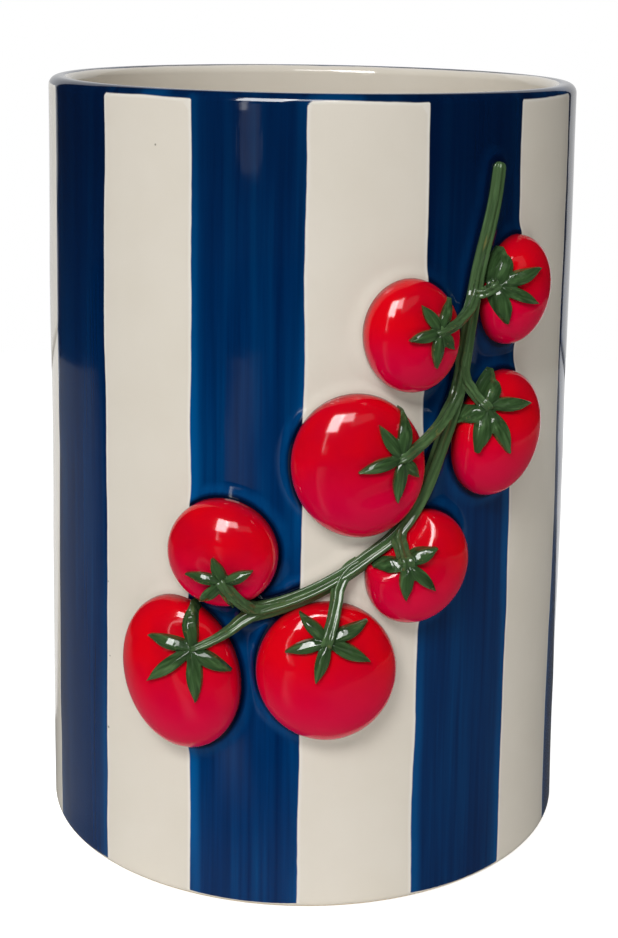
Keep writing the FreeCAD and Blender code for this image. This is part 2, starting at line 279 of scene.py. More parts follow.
def domeHeight(name, along, up):
    # how far a fruit stands off the wall, with its dimple and its lobes
    fruit = fruits[name]
    share = fruitShare(fruit, along, up)
    if share >= 1:
        return 0
    height = dome["standOff"] + dome["swell"] * math.sqrt(1 - share ** dome["fullness"])
    offAlong, offUp = along - fruit["hub"][0], up - fruit["hub"][1]
    reach = math.hypot(offAlong, offUp)
    fade = smoothStep(1, dome["edgeFade"], share)
    height -= fade * dome["dimpleDepth"] * math.exp(-(reach / dome["dimpleWidth"]) ** 2)
    lobe = 1 - math.cos(dome["lobes"] * math.atan2(offAlong, offUp))
    lobeFade = math.exp(-(reach / dome["lobeReach"]) ** 2)
    height -= fade * dome["lobeDepth"] * lobe * lobeFade * smoothStep(0, dome["lobeStart"], reach)
    if name == "centre":
        aside, run = besidePath(fold["path"], along, up)
        comeIn = smoothStep(0, math.dist(*fold["path"]) / 2, run)
        height -= fold["depth"] * math.exp(-(aside / fold["width"]) ** 2) * comeIn
    if name == "low_middle":
        beside = tuck["height"] + tuck["slope"] * (vineSide(along, up) - tuck["start"])
        height = max(softMin(height, beside, tuck["blend"]), 0)
    return height


# Materials

stripes = {"cream": ("#ddd5c6", "#e6dfd3"), "creamLine": "#f3f1ec", "speck": "#6b6254",
           "blue": ((0.12, "#00224f"), (0.25, "#002f61"), (0.4, "#003d70")),
           "thinBlue": "#00508c", "pooledAndShadedBlue": "#000d2a", "thickAndShadedBlue": "#00102e",
           "clay": ("#cdb99c", "#e2d3ba"), "roughness": (0.07, 0.8), "ior": 1.5}  # rough: glaze, clay


def makeStripedGlaze():
    # hand-painted stoneware under a clear glaze: brushed cobalt stripes, warm cream between, wet gloss
    material, shader, add = newMaterial("striped_stoneware_glaze")
    place = add("TexCoord").outputs["Object"]
    height = add("SeparateXYZ", {"Vector": place}).outputs["Z"]
    blueEdge = add("Attribute", attribute_name="blueEdge").outputs["Fac"]
    reliefEdge = add("Attribute", attribute_name="reliefEdge").outputs["Fac"]
    coatAndShade = add("Attribute", attribute_name="coatAndShade").outputs["Fac"]

    # the brush wanders: slow drift of about 30 mm and a quick tremble of about 5 mm
    drift = add("TexNoise", {"Vector": place, "Scale": perMm / 30, "Detail": 1.0})
    tremble = add("TexNoise", {"Vector": place, "Scale": perMm / 5, "Detail": 2.0})
    driftMm = add("MapRange", {"Value": drift, "To Min": -0.7, "To Max": 0.7})
    trembleMm = add("MapRange", {"Value": tremble, "To Min": -0.12, "To Max": 0.12})
    wander = add("Math", {0: driftMm, 1: trembleMm}, operation="ADD")
    edge = add("Math", {0: blueEdge, 1: wander}, operation="ADD")
    painted = add("MapRange", {"Value": edge, "From Min": -0.16, "From Max": 0.16}, **smooth)

    # brush hairs leave streaks about 1.6 mm wide and 70 mm long, strokes are 7 mm wide and 120 mm long
    hairs = add("Mapping", {"Vector": place, "Scale": (perMm / 1.6, perMm / 1.6, perMm / 70)})
    hairNoise = add("TexNoise", {"Vector": hairs, "Scale": 1.0, "Detail": 3.0, "Roughness": 0.6})
    strokes = add("Mapping", {"Vector": place, "Scale": (perMm / 7, perMm / 7, perMm / 120)})
    strokeNoise = add("TexNoise", {"Vector": strokes, "Scale": 1.0, "Detail": 2.0})
    streaks = add("Math", {0: hairNoise, 1: strokeNoise}, operation="MULTIPLY")
    blue = add("ValToRGB", {"Fac": streaks}, stripes["blue"])

    # the paint is thin along a stripe's edge and round the fruit, where the brush turned
    thinEdge = add("MapRange", {"Value": edge, "From Min": 3.2, "From Max": 0.8}, **smooth)
    thinPatch = add("MapRange", {"Value": strokeNoise, "From Min": 0.42, "From Max": 0.62})
    thin = add("Math", {0: thinEdge, 1: thinPatch}, operation="MULTIPLY")
    haloIn = add("MapRange", {"Value": reliefEdge, "From Min": 0.9, "From Max": 1.6}, **smooth)
    haloOut = add("MapRange", {"Value": reliefEdge, "From Min": 4.0, "From Max": 1.9, "To Max": 0.6},
                  **smooth)
    halo = add("Math", {0: haloIn, 1: haloOut}, operation="MULTIPLY")
    haloSoft = add("Math", {0: halo, 1: tremble}, operation="MULTIPLY")
    thinShare = add("Math", {0: thin, 1: haloSoft}, operation="MAXIMUM")
    thinBlue = add("Mix", {"Factor": thinShare, "A": blue, "B": stripes["thinBlue"]}, **inColour)

    # it pools against the relief, where painted shade darkens the crease too; it is thick where the full
    # brush started at the rim, and some stripes are darker, with more paint and painted shade
    # painted shade: darker blue in the last 1.3 mm beside the relief, over glaze that pools there
    poolAndShadeShare = add("MapRange", {"Value": reliefEdge, "From Min": 1.3, "From Max": 0.5})
    pooledAndShadedBlue = add("Mix", {"Factor": poolAndShadeShare, "A": thinBlue, "B": stripes["pooledAndShadedBlue"]}, **inColour)
    thick = add("MapRange", {"Value": height, "From Min": 100 * mm, "From Max": 172 * mm, "To Max": 0.55})
    # each stripe's listed darkness adds to the thicker paint at the top; part of it is painted shade
    coatedAndShaded = add("Math", {0: thick, 1: coatAndShade}, operation="ADD", use_clamp=True)
    thickAndShadedBlue = add("Mix", {"Factor": coatedAndShaded, "A": pooledAndShadedBlue, "B": stripes["thickAndShadedBlue"]}, **inColour)

    # cream glaze: cloudy at about 18 mm, a few iron specks of half a millimetre
    cloud = add("TexNoise", {"Vector": place, "Scale": perMm / 18, "Detail": 4.0})
    pale, warm = stripes["cream"]
    cream = add("Mix", {"Factor": cloud, "A": pale, "B": warm}, **inColour)
    specks = add("TexVoronoi", {"Vector": place, "Scale": perMm / 11})
    speckSize = add("MapRange", {"Value": specks.outputs["Distance"], "From Min": 0.035, "From Max": 0.02})
    speckPick = add("SeparateColor", {"Color": specks.outputs["Color"]})
    speckFew = add("Math", {0: speckPick.outputs["Red"], 1: 0.8}, operation="GREATER_THAN")
    speck = add("Math", {0: speckSize, 1: speckFew}, operation="MULTIPLY")
    specked = add("Mix", {"Factor": speck, "A": cream, "B": stripes["speck"]}, **inColour)

    # a pale line where cream glaze drew back from the paint
    lineIn = add("MapRange", {"Value": edge, "From Min": -0.9, "From Max": -0.35})
    line = add("Math", {0: lineIn, 1: 0.35}, operation="MULTIPLY")
    creamLine = add("Mix", {"Factor": line, "A": specked, "B": stripes["creamLine"]}, **inColour)
    surface = add("Mix", {"Factor": painted, "A": creamLine, "B": thickAndShadedBlue}, **inColour)

    # the foot is wiped clean of glaze: dry, warm clay below the first millimetre, its grit about 0.9 mm
    dry = add("MapRange", {"Value": height, "From Min": 0.9 * mm, "From Max": 0.6 * mm})
    grit = add("TexNoise", {"Vector": place, "Scale": perMm / 0.9, "Detail": 3.0})
    dark, light = stripes["clay"]
    clay = add("Mix", {"Factor": grit, "A": dark, "B": light}, **inColour)
    colour = add("Mix", {"Factor": dry, "A": surface, "B": clay}, **inColour)
    glazed, bare = stripes["roughness"]
    rough = add("MapRange", {"Value": dry, "To Min": glazed, "To Max": bare})

    # glaze is never flat: long waves of about 12 mm and the brush's own ridges under it
    wave = add("TexNoise", {"Vector": place, "Scale": perMm / 12, "Detail": 1.5})
    waveBump = add("Bump", {"Height": wave, "Strength": 0.35, "Distance": 0.25 * mm})
    hairBump = add("Bump", {"Height": hairNoise, "Normal": waveBump, "Strength": 0.2, "Distance": 0.05 * mm})
    setInputs(material, shader,
              {"Base Color": colour, "Roughness": rough, "IOR": stripes["ior"], "Normal": hairBump})
    return material


tomatoRed = {"red": ((0.3, "#c8001e"), (0.62, "#de0014")), "ripe": "#d2003c", "pooledAndShadedRed": "#8c0a12",
             "bare": "#d98f7c", "roughness": 0.1, "ior": 1.52}


def makeTomatoGlaze():
    # selenium red glaze, thick and wet: faintly cloudy at about 11 mm, crimson on the lower half where it
    # runs deeper, with a painted pinkish sheen there;
    # darker near the wall, where it pools and shade is painted; pale where it breaks at the wall, partly a
    # painted reflection of the cream wall
    material, shader, add = newMaterial("tomato_red_glaze")
    place = add("TexCoord").outputs["Object"]
    lowness = add("Attribute", attribute_name="lowness").outputs["Fac"]  # -1 on top, 1 below
    cloud = add("TexNoise", {"Vector": place, "Scale": perMm / 11, "Detail": 2.0})
    red = add("ValToRGB", {"Fac": cloud}, tomatoRed["red"])
    # painted sheen: the lower half of each fruit turns pinkish crimson, along with glaze that runs deeper
    # there
    lowerHalfShare = add("MapRange", {"Value": lowness, "From Min": -0.4, "From Max": 0.65, "To Max": 0.9}, **smooth)
    ripe = add("Mix", {"Factor": lowerHalfShare, "A": red, "B": tomatoRed["ripe"]}, **inColour)

    # how far a point stands off the wall, made ragged at about 4 mm
    axis = add("SeparateXYZ", {"Vector": place})
    flat = add("CombineXYZ", {"X": axis.outputs["X"], "Y": axis.outputs["Y"]})
    radius = add("VectorMath", {0: flat}, operation="LENGTH").outputs["Value"]
    ragged = add("TexNoise", {"Vector": place, "Scale": perMm / 4, "Detail": 2.0})
    raggedMm = add("MapRange", {"Value": ragged, "To Min": -0.5 * mm, "To Max": 0.5 * mm})
    level = add("Math", {0: radius, 1: raggedMm}, operation="ADD")
    wall = wallRadius * mm
    # painted shade: darker red over the last 4 mm above the wall, in the crease where glaze also pools
    nearWallShare = add("MapRange", {"Value": level, "From Min": wall + 4 * mm, "From Max": wall + 0.8 * mm}, **smooth)
    pooledAndShadedRed = add("Mix", {"Factor": nearWallShare, "A": ripe, "B": tomatoRed["pooledAndShadedRed"]}, **inColour)
    # pale pink at the foot of each fruit: glaze broken thin, and a painted reflection of the cream wall
    bare = add("MapRange", {"Value": level, "From Min": wall + 0.9 * mm, "From Max": wall + 0.3 * mm},
               **smooth)
    colour = add("Mix", {"Factor": bare, "A": pooledAndShadedRed, "B": tomatoRed["bare"]}, **inColour)

    # waves of about 7 mm
    wave = add("TexNoise", {"Vector": place, "Scale": perMm / 7, "Detail": 1.5})
    bump = add("Bump", {"Height": wave, "Strength": 0.3, "Distance": 0.2 * mm})
    setInputs(material, shader, {"Base Color": colour, "Roughness": tomatoRed["roughness"],
                                 "IOR": tomatoRed["ior"], "Normal": bump})
    return material


# hub is the darker green of the painted shade round each calyx's hub
leafGreen = {"green": ((0.3, "#273d20"), (0.52, "#38532f"), (0.74, "#527145")), "hub": "#2a3f26",
             "stem": "#728c62", "worn": "#75723f", "roughness": 0.07, "ior": 1.5}


def makeLeafGlaze():
    # chrome green glaze brushed along the stems and leaves: painted shade round the hubs, paler streaks,
    # worn to brown on some edges
    material, shader, add = newMaterial("leaf_green_glaze")
    place = add("TexCoord").outputs["Object"]
    grain = add("Attribute", attribute_name="grain").outputs["Vector"]  # mm across, along, out
    tone = add("Attribute", attribute_name="tone").outputs["Fac"]  # 0 at a hub, 1 at a leaf's tip

    # streaks 0.8 mm wide and 11 mm long
    stretched = add("Mapping", {"Vector": grain, "Scale": (1 / 0.8, 1 / 11, 1 / 1.4)})
    streak = add("TexNoise", {"Vector": stretched, "Scale": 1.0, "Detail": 2.0, "Roughness": 0.55})
    green = add("ValToRGB", {"Fac": streak}, leafGreen["green"])
    # painted shade: darker green in the recess round each hub, fading out by 40 percent of a leaf's length
    shade = add("MapRange",
                {"Value": tone, "From Min": 0.05, "From Max": 0.4, "To Min": 0.6, "To Max": 0.0}, **smooth)
    shaded = add("Mix", {"Factor": shade, "A": green, "B": leafGreen["hub"]}, **inColour)
    # the stems, whose tone is over 1, were wiped paler
    stem = add("MapRange", {"Value": tone, "From Min": 1.1, "From Max": 1.4, "To Max": 0.16})
    lifted = add("Mix", {"Factor": stem, "A": shaded, "B": leafGreen["stem"]}, **inColour)
    pointed = add("NewGeometry").outputs["Pointiness"]
    wornShare = add("MapRange", {"Value": pointed, "From Min": 0.57, "From Max": 0.66})
    wornPatch = add("TexNoise", {"Vector": place, "Scale": perMm / 5})
    worn = add("Math", {0: wornShare, 1: wornPatch}, operation="MULTIPLY")
    colour = add("Mix", {"Factor": worn, "A": lifted, "B": leafGreen["worn"]}, **inColour)

    # ripples of about 1.8 mm and the brush's streaks
    ripple = add("TexNoise", {"Vector": place, "Scale": perMm / 1.8, "Detail": 1.5})
    bump = add("Bump", {"Height": ripple, "Strength": 0.3, "Distance": 0.12 * mm})
    grainBump = add("Bump", {"Height": streak, "Normal": bump, "Strength": 0.25, "Distance": 0.1 * mm})
    setInputs(material, shader, {"Base Color": colour, "Roughness": leafGreen["roughness"],
                                 "IOR": leafGreen["ior"], "Normal": grainBump})
    return material


def writeGrain(piece, grains, tones):
    # the leaf glaze's own coordinates, one for each vertex
    attribute = piece.data.attributes.new("grain", "FLOAT_VECTOR", "POINT")
    attribute.data.foreach_set("vector", [value for grain in grains for value in grain])
    writeValues(piece, "tone", tones)


stripedGlaze = makeStripedGlaze()
tomatoGlaze = makeTomatoGlaze()
leafGlaze = makeLeafGlaze()
print("materials: three glazes")


# The jar

# how much darker each blue stripe is drawn: thicker paint, and painted shade on the stripes that face away
# from the key light; stripeEdges are in degrees round the jar
jar = {"segments": 240, "wall": 5.5, "lipRound": 2.4, "floor": 8.0, "cove": 10.0, "baseRound": 2.0,
       "footRing": 9.0, "footRecess": 2.5, "footRound": 1.0, "outerRows": 96, "innerRows": 40,
       "sprayTurns": (-52, 66), "sprayHeights": (26, 178), "sprayCuts": 2,
       "slowWobble": 0.35, "slowLength": 55.0, "quickWobble": 0.05, "quickLength": 13.0, "footFade": 12,
       "skirtHeight": 0.9, "skirtReach": 1.9,
       "stripeEdges": (-68.3, -45.6, -23.6, -1.0, 22.8, 46.0, 68.1, 90.5, 112.8, 135.2, 157.5, 179.9, 202.3,
                       224.6, 247.0, 269.3),
       "rimBand": 1.6, "rimIn": 1.3, "coatsAndShade": (0.28, 0.0, 0.3, 0.1, 0.2, 0.05, 0.25, 0.15),
       "creaseAngle": 40}
facing = 0.9  # a face whose normal has this share along an axis faces that way
near = 0.05  # how close an edge lies to the circle it is picked by
wallSkin = 0.5  # a face that is this close to the outer radius is on the wall
farFromRelief = 20  # a distance where the relief no longer tells
aroundRelief = 80  # how far along the wall from the front the relief is looked for
offPaint = -5  # a distance well outside the paint


def stripeDistance(along):
    # signed distance to the nearest stripe edge, positive in the blue
    turn = math.degrees(along / wallRadius)
    edges = jar["stripeEdges"]
    turn = (turn - edges[0]) % 360 + edges[0]
    laps = list(edges) + [edges[0] + 360]
    for index, (start, end) in enumerate(zip(laps, laps[1:])):
        if start <= turn <= end:
            distance = math.radians(min(turn - start, end - turn)) * wallRadius
            return distance if index % 2 == 0 else -distance


def stripeCoat(along):
    # extra darkness on the blue stripe that is nearest: thicker paint, and painted shade where it faces away
    # from the key light
    share = (math.degrees(along / wallRadius) - jar["stripeEdges"][0]) / 360
    count = len(jar["coatsAndShade"])
    halfCream = 0.25  # of a blue and a cream stripe together
    return jar["coatsAndShade"][int((share * count + halfCream) % count)]


def reliefDistance(along, up):
    # distance to the nearest fruit or to the vine, 0 inside them
    nearest = farFromRelief
    for fruit in fruits.values():
        share = fruitShare(fruit, along, up)
        reach = math.hypot(along - fruit["arc"], up - fruit["up"])
        nearest = min(nearest, reach * (1 - 1 / share) if share > 1 else 0)
    stem = abs(vineSide(along, up)) - vine["width"] / 2
    return max(min(nearest, stem), 0)


def makeCrock():
    clearSelection()
    radius, height = wallRadius * mm, jarHeight * mm
    bpy.ops.mesh.primitive_cylinder_add(vertices=jar["segments"], radius=radius, depth=height,
                                        location=(0, 0, height / 2), end_fill_type="NGON")
    crock = bpy.context.active_object
    crock.name = "glazed_crock"
    applyPlace()
    inner = wallRadius - jar["wall"]
    foot = wallRadius - jar["footRing"]
    floorTop = jar["footRecess"] + jar["floor"]
    setMode("EDIT")
    pick(crock, "FACE", lambda face: face.normal.z > facing)
    bpy.ops.mesh.inset(thickness=jar["wall"] * mm, depth=0)  # the lip
    extrude(0, 0, floorTop - jarHeight)  # the well
    pick(crock, "FACE", lambda face: face.normal.z < -facing)
    bpy.ops.mesh.inset(thickness=jar["footRing"] * mm, depth=0)  # the foot ring
    extrude(0, 0, jar["footRecess"])

    rounds = (  # radius and height of an edge, its rounding and the steps of that
        (wallRadius, jarHeight, jar["lipRound"], 10),
        (inner, jarHeight, jar["lipRound"], 10),
        (inner, floorTop, jar["cove"], 12),
        (wallRadius, 0, jar["baseRound"], 6),
        (foot, 0, jar["footRound"], 4),
        (foot, jar["footRecess"], jar["footRound"], 4),
    )
    for ringRadius, ringHeight, size, segments in rounds:
        pick(crock, "EDGE", lambda edge: all(
            abs(math.hypot(vertex.co.x, vertex.co.y) / mm - ringRadius) < near
            and abs(vertex.co.z / mm - ringHeight) < near for vertex in edge.verts))
        bpy.ops.mesh.bevel(offset=size * mm, segments=segments, profile=0.5, affect="EDGES")
    for ringRadius, rows in ((wallRadius, jar["outerRows"]), (inner, jar["innerRows"])):
        pick(crock, "EDGE", lambda edge: abs(edge.verts[0].co.z - edge.verts[1].co.z) / mm > jarHeight / 2
             and abs(math.hypot(edge.verts[0].co.x, edge.verts[0].co.y) / mm - ringRadius) < near)
        bpy.ops.mesh.subdivide(number_cuts=rows)

    # a finer net where the spray is, for the clay that swells round it
    def underSpray(face):
        middle = face.calc_center_median() / mm
        turn = math.degrees(math.atan2(middle.x, -middle.y))
        return (math.hypot(middle.x, middle.y) > wallRadius - wallSkin
                and jar["sprayTurns"][0] < turn < jar["sprayTurns"][1]
                and jar["sprayHeights"][0] < middle.z < jar["sprayHeights"][1])
    pick(crock, "FACE", underSpray)
    bpy.ops.mesh.subdivide(number_cuts=jar["sprayCuts"])
    setMode("OBJECT")

    # hand-finished clay: a slow lean of the wall, small waves, and a soft skirt where the relief was luted on
    blueEdges, reliefEdges, coatsAndShade = [], [], []
    lipMiddle = wallRadius - jar["wall"] / 2
    paintedRadius = wallRadius - jar["lipRound"] - 2 * near
    lipTop = jarHeight - 1  # the last millimetre, over the lip
    for vertex in crock.data.vertices:
        place = vertex.co / mm
        ringRadius = math.hypot(place.x, place.y)
        along = math.atan2(place.x, -place.y) * wallRadius
        outside = ringRadius > lipMiddle and place.z > jar["baseRound"] / 2
        relief = reliefDistance(along, place.z) if outside and abs(along) < aroundRelief else farFromRelief
        blue = stripeDistance(along) if ringRadius > paintedRadius else offPaint
        rim = min(place.z - (jarHeight - jar["rimBand"]), ringRadius - lipMiddle + jar["rimIn"])
        blueEdges.append(max(blue, rim) if outside or place.z > lipTop else offPaint)
        reliefEdges.append(relief)
        coatsAndShade.append(stripeCoat(along))
        fade = smoothStep(0, jar["footFade"], place.z)
        push = fade * jar["slowWobble"] * noise.noise(place / jar["slowLength"])
        push += fade * jar["quickWobble"] * noise.noise(place / jar["quickLength"])
        push += jar["skirtHeight"] * math.exp(-(relief / jar["skirtReach"]) ** 2)
        if ringRadius > 1:  # not at the axis
            share = (ringRadius + push) / ringRadius
            vertex.co.x *= share
            vertex.co.y *= share
    for name, values in (("blueEdge", blueEdges), ("reliefEdge", reliefEdges), ("coatAndShade", coatsAndShade)):
        writeValues(crock, name, values)
    smoothShade(crock, jar["creaseAngle"])
    settle(crock, stripedGlaze, "striped_glaze", "crock_body")


makeCrock()
print("jar: turned, striped")


# Tomatoes

tomatoNet = {"segments": 112, "rings": 56, "creaseAngle": 50}


def makeTomato(name):
    fruit = fruits[name]
    clearSelection()
    bpy.ops.mesh.primitive_uv_sphere_add(segments=tomatoNet["segments"], ring_count=tomatoNet["rings"],
                                         radius=1, rotation=(math.pi / 2, 0, 0))
    tomato = bpy.context.active_object
    tomato.name = "glazed_tomato_" + name
    applyPlace()
    setMode("EDIT")
    bpy.ops.mesh.select_all(action="SELECT")
    bpy.ops.mesh.bisect(plane_co=(0, 0, 0), plane_no=(0, 1, 0), use_fill=True, clear_outer=True)
    bpy.ops.mesh.select_all(action="SELECT")
    size = (fruit["width"] / 2 * mm, dome["swell"] * mm, fruit["length"] / 2 * mm)
    bpy.ops.transform.resize(value=size, center_override=(0, 0, 0))
    pick(tomato, "FACE", lambda face: face.normal.y > facing)
    extrude(0, dome["standOff"] + dome["sink"], 0)
    setMode("OBJECT")
    tomato.rotation_euler = (0, -math.radians(fruit["lean"]), 0)
    tomato.location = (fruit["arc"] * mm, -dome["standOff"] * mm, fruit["up"] * mm)
    applyPlace()
    rimOut = -dome["standOff"] * mm - 1e-7  # a vertex in front of this is on the dome
    for vertex in tomato.data.vertices:
        if vertex.co.y < rimOut:
            vertex.co.y = -domeHeight(name, vertex.co.x / mm, vertex.co.z / mm) * mm
        if name == "low_middle":  # its base ends under the vine
            for _ in range(tuck["pulls"]):
                if vineSide(vertex.co.x / mm, vertex.co.z / mm) > tuck["clear"]:
                    break
                vertex.co.x += (fruit["arc"] * mm - vertex.co.x) * tuck["pull"]
                vertex.co.z += (fruit["up"] * mm - vertex.co.z) * tuck["pull"]
    lowness = [(fruit["up"] - vertex.co.z / mm) / fruit["length"] * 2 for vertex in tomato.data.vertices]
    writeValues(tomato, "lowness", lowness)
    wrapOnWall(tomato)
    smoothShade(tomato, tomatoNet["creaseAngle"])
    settle(tomato, tomatoGlaze, "tomato_red_glaze", "tomato_" + name)


for name in fruits:
    makeTomato(name)
print("tomatoes:", len(fruits))


# Calyxes

# widths follow the length within limits; roof, tipThin, archPeak and archSharp shape the ridge and the arch
leaf = {"lengthShare": 0.94, "widthShare": 0.3, "leastWidth": 2.6, "mostWidth": 3.1, "baseShare": 0.1,
        "fullness": 0.9, "thickness": 1.35, "edge": 0.3, "roof": 1.15, "tipThin": 0.4,
        "arch": 0.9, "archPeak": 0.72, "archSharp": 1.3, "curl": 0.5, "bend": 0.07, "bendTurns": 3,
        "steepest": 0.75, "sideFall": 0.12, "leastSeat": 0.6, "seatSteps": 40, "sink": 0.6, "deepest": -0.3,
        "rows": 24, "columns": 10, "hubWidth": 3.4, "hubHeight": 0.9, "hubSegments": 32, "hubRings": 16,
        "voxel": 0.17, "smoothing": 4, "grainApart": 40, "creaseAngle": 60}


def makeLeafBlank():
    # one leaf of unit length lying along x, a slab that the others are copied from
    clearSelection()
    bpy.ops.mesh.primitive_grid_add(x_subdivisions=leaf["rows"], y_subdivisions=leaf["columns"], size=1,
                                    location=(0.5, 0, 0))
    blank = bpy.context.active_object
    blank.name = "leaf_blank"
    applyPlace()
    setMode("EDIT")
    bpy.ops.mesh.select_all(action="SELECT")
    extrude(0, 0, perMm)
    bpy.ops.mesh.select_all(action="SELECT")
    bpy.ops.mesh.normals_make_consistent(inside=False)
    setMode("OBJECT")
    return blank


leafBlank = makeLeafBlank()


def seatLine(name, turn, length, steps):
    # height of a leaf's middle line, which never falls off the fruit's edge faster than the clay would stand
    hubAlong, hubUp = fruits[name]["hub"]
    heights = [domeHeight(name, hubAlong, hubUp)]
    for step in range(1, steps + 1):
        reach = length * step / steps
        surface = domeHeight(name, hubAlong + reach * math.sin(turn), hubUp + reach * math.cos(turn))
        heights.append(max(surface, heights[-1] - leaf["steepest"] * length / steps, leaf["leastSeat"]))
    return heights


def makeLeaf(name, turn, length):
    # bends one copy of the blank over the fruit: it rises out of the dimple, arches and comes down to a point
    hubAlong, hubUp = fruits[name]["hub"]
    length *= leaf["lengthShare"]
    width = min(max(leaf["widthShare"] * length, leaf["leastWidth"]), leaf["mostWidth"])
    seats = seatLine(name, turn, length, leaf["seatSteps"])
    sway = leaf["bend"] * length * math.sin(leaf["bendTurns"] * turn + length)
    base, body = leaf["baseShare"], leaf["thickness"] - leaf["edge"]
    piece = leafBlank.copy()
    piece.data = leafBlank.data.copy()
    bpy.context.scene.collection.objects.link(piece)
    for vertex in piece.data.vertices:
        share, across, top = vertex.co.x, vertex.co.y * 2, vertex.co.z > 0.5
        outline = max(math.sin(math.pi * (base + (1 - base) * share)), 0)
        halfWidth = width / 2 * outline ** leaf["fullness"]
        reach, aside = share * length, across * halfWidth + sway * share ** 2
        along = hubAlong + reach * math.sin(turn) + aside * math.cos(turn)
        up = hubUp + reach * math.cos(turn) - aside * math.sin(turn)
        surface = domeHeight(name, along, up)
        seat = max(surface, seats[round(share * leaf["seatSteps"])] - leaf["sideFall"] * abs(aside))
        ridge = leaf["edge"] + body * (1 - abs(across) ** leaf["roof"]) * (1 - leaf["tipThin"] * share)
        arch = leaf["arch"] * max(math.sin(math.pi * share ** leaf["archPeak"]), 0) ** leaf["archSharp"]
        out = max(surface - leaf["sink"], leaf["deepest"])
        if top:
            out = seat + ridge + arch + leaf["curl"] * share ** 3
        vertex.co = (along * mm, -out * mm, up * mm)
    return piece


def leafGrain(name, along, out, up):
    # across, along and out on the nearest leaf, and the share of its length
    hubAlong, hubUp = fruits[name]["hub"]
    heading, reach = math.atan2(along - hubAlong, up - hubUp), math.hypot(along - hubAlong, up - hubUp)
    offsets = []
    for index, (turn, length) in enumerate(fruits[name]["leaves"]):
        off = (heading - math.radians(turn) + math.pi) % (2 * math.pi) - math.pi
        offsets.append((abs(off), off, index, length))
    _, off, index, length = min(offsets)
    run = reach * math.cos(off)
    return (reach * math.sin(off), run + leaf["grainApart"] * index, out), run / length


def makeCalyx(name):
    fruit = fruits[name]
    hubAlong, hubUp = fruit["hub"]
    pieces = [makeLeaf(name, math.radians(turn), length) for turn, length in fruit["leaves"]]
    clearSelection()
    hubOut = domeHeight(name, hubAlong, hubUp)
    hubSize = (leaf["hubWidth"] / 2 * mm, leaf["hubHeight"] * mm, leaf["hubWidth"] / 2 * mm)
    bpy.ops.mesh.primitive_uv_sphere_add(segments=leaf["hubSegments"], ring_count=leaf["hubRings"], radius=1,
                                         location=(hubAlong * mm, -hubOut * mm, hubUp * mm), scale=hubSize)
    calyx = bpy.context.active_object
    calyx.name = "glazed_calyx_" + name
    applyPlace()
    for piece in pieces:
        piece.select_set(True)
    bpy.context.view_layer.objects.active = calyx
    bpy.ops.object.join()
    applyModifier(calyx, "REMESH", mode="VOXEL", voxel_size=leaf["voxel"] * mm, use_smooth_shade=True)
    applyModifier(calyx, "SMOOTH", factor=0.5, iterations=leaf["smoothing"])
    places = [vertex.co / mm for vertex in calyx.data.vertices]
    marks = [leafGrain(name, place.x, -place.y, place.z) for place in places]
    writeGrain(calyx, [mark[0] for mark in marks], [mark[1] for mark in marks])
    wrapOnWall(calyx)
    smoothShade(calyx, leaf["creaseAngle"])
    settle(calyx, leafGlaze, "leaf_green_glaze", "calyx_" + name)


for name in fruits:
    makeCalyx(name)
bpy.data.objects.remove(leafBlank)
print("calyxes:", len(fruits))


# Vine and stalks

# endRound closes a stem: reach in widths and share of its width
stemNet = {"pointsPerRidge": 10, "curveSteps": 10, "weld": 0.01, "tone": 1.4, "creaseAngle": 50,
           "endRound": ((0.28, 0.86), (0.42, 0.6), (0.5, 0.16))}


def makeStemSection():
    # the cut across a stem: a round with shallow ridges along it
    section = bpy.data.curves.new("stem_section", "CURVE")
    section.dimensions = "2D"
    spline = section.splines.new("POLY")
    count = vine["ridges"] * stemNet["pointsPerRidge"]
    spline.points.add(count - 1)
    for index, point in enumerate(spline.points):
        turn = 2 * math.pi * index / count
        radius = 1 + vine["ridgeDepth"] * math.cos(vine["ridges"] * turn)
        point.co = (radius * math.cos(turn), radius * math.sin(turn), 0, 1)
    spline.use_cyclic_u = True
    return addObject("stem_section", section)


stemSection = makeStemSection()


def makeStem(name, route, twist):
    # a ridged tube through points given as along, out, up and width
    curve = bpy.data.curves.new(name, "CURVE")
    curve.dimensions = "3D"
    curve.resolution_u = stemNet["curveSteps"]
    curve.bevel_mode = "OBJECT"
    curve.bevel_object = stemSection
    curve.use_fill_caps = True
    spline = curve.splines.new("BEZIER")
    spline.bezier_points.add(len(route) - 1)
    for index, (point, (along, out, up, width)) in enumerate(zip(spline.bezier_points, route)):
        point.co = (along * mm, -out * mm, up * mm)
        point.handle_left_type = point.handle_right_type = "AUTO"
        point.radius = width / 2 * mm
        point.tilt = twist * index / (len(route) - 1)
    makeActive(addObject(name, curve))
    bpy.ops.object.convert(target="MESH")
    stem = bpy.context.active_object
    setMode("EDIT")
    bpy.ops.mesh.select_all(action="SELECT")
    bpy.ops.mesh.remove_doubles(threshold=stemNet["weld"] * mm)
    bpy.ops.mesh.normals_make_consistent(inside=False)
    setMode("OBJECT")
    path = [(along, up) for along, _, up, _ in route]
    grains = []
    for vertex in stem.data.vertices:
        aside, run = besidePath(path, vertex.co.x / mm, vertex.co.z / mm)
        grains.append((aside, run, -vertex.co.y / mm))
    writeGrain(stem, grains, [stemNet["tone"]] * len(grains))
    wrapOnWall(stem)
    smoothShade(stem, stemNet["creaseAngle"])
    return stem


def roundEnd(route, headAlong, headUp, drop):
    # closes a stem with a rounded end that runs on in one direction
    along, out, up, width = route[-1]
    for reach, narrow in stemNet["endRound"]:
        endAlong, endUp = along + headAlong * reach * width, up + headUp * reach * width
        route.append((endAlong, out - drop * reach, endUp, width * narrow))


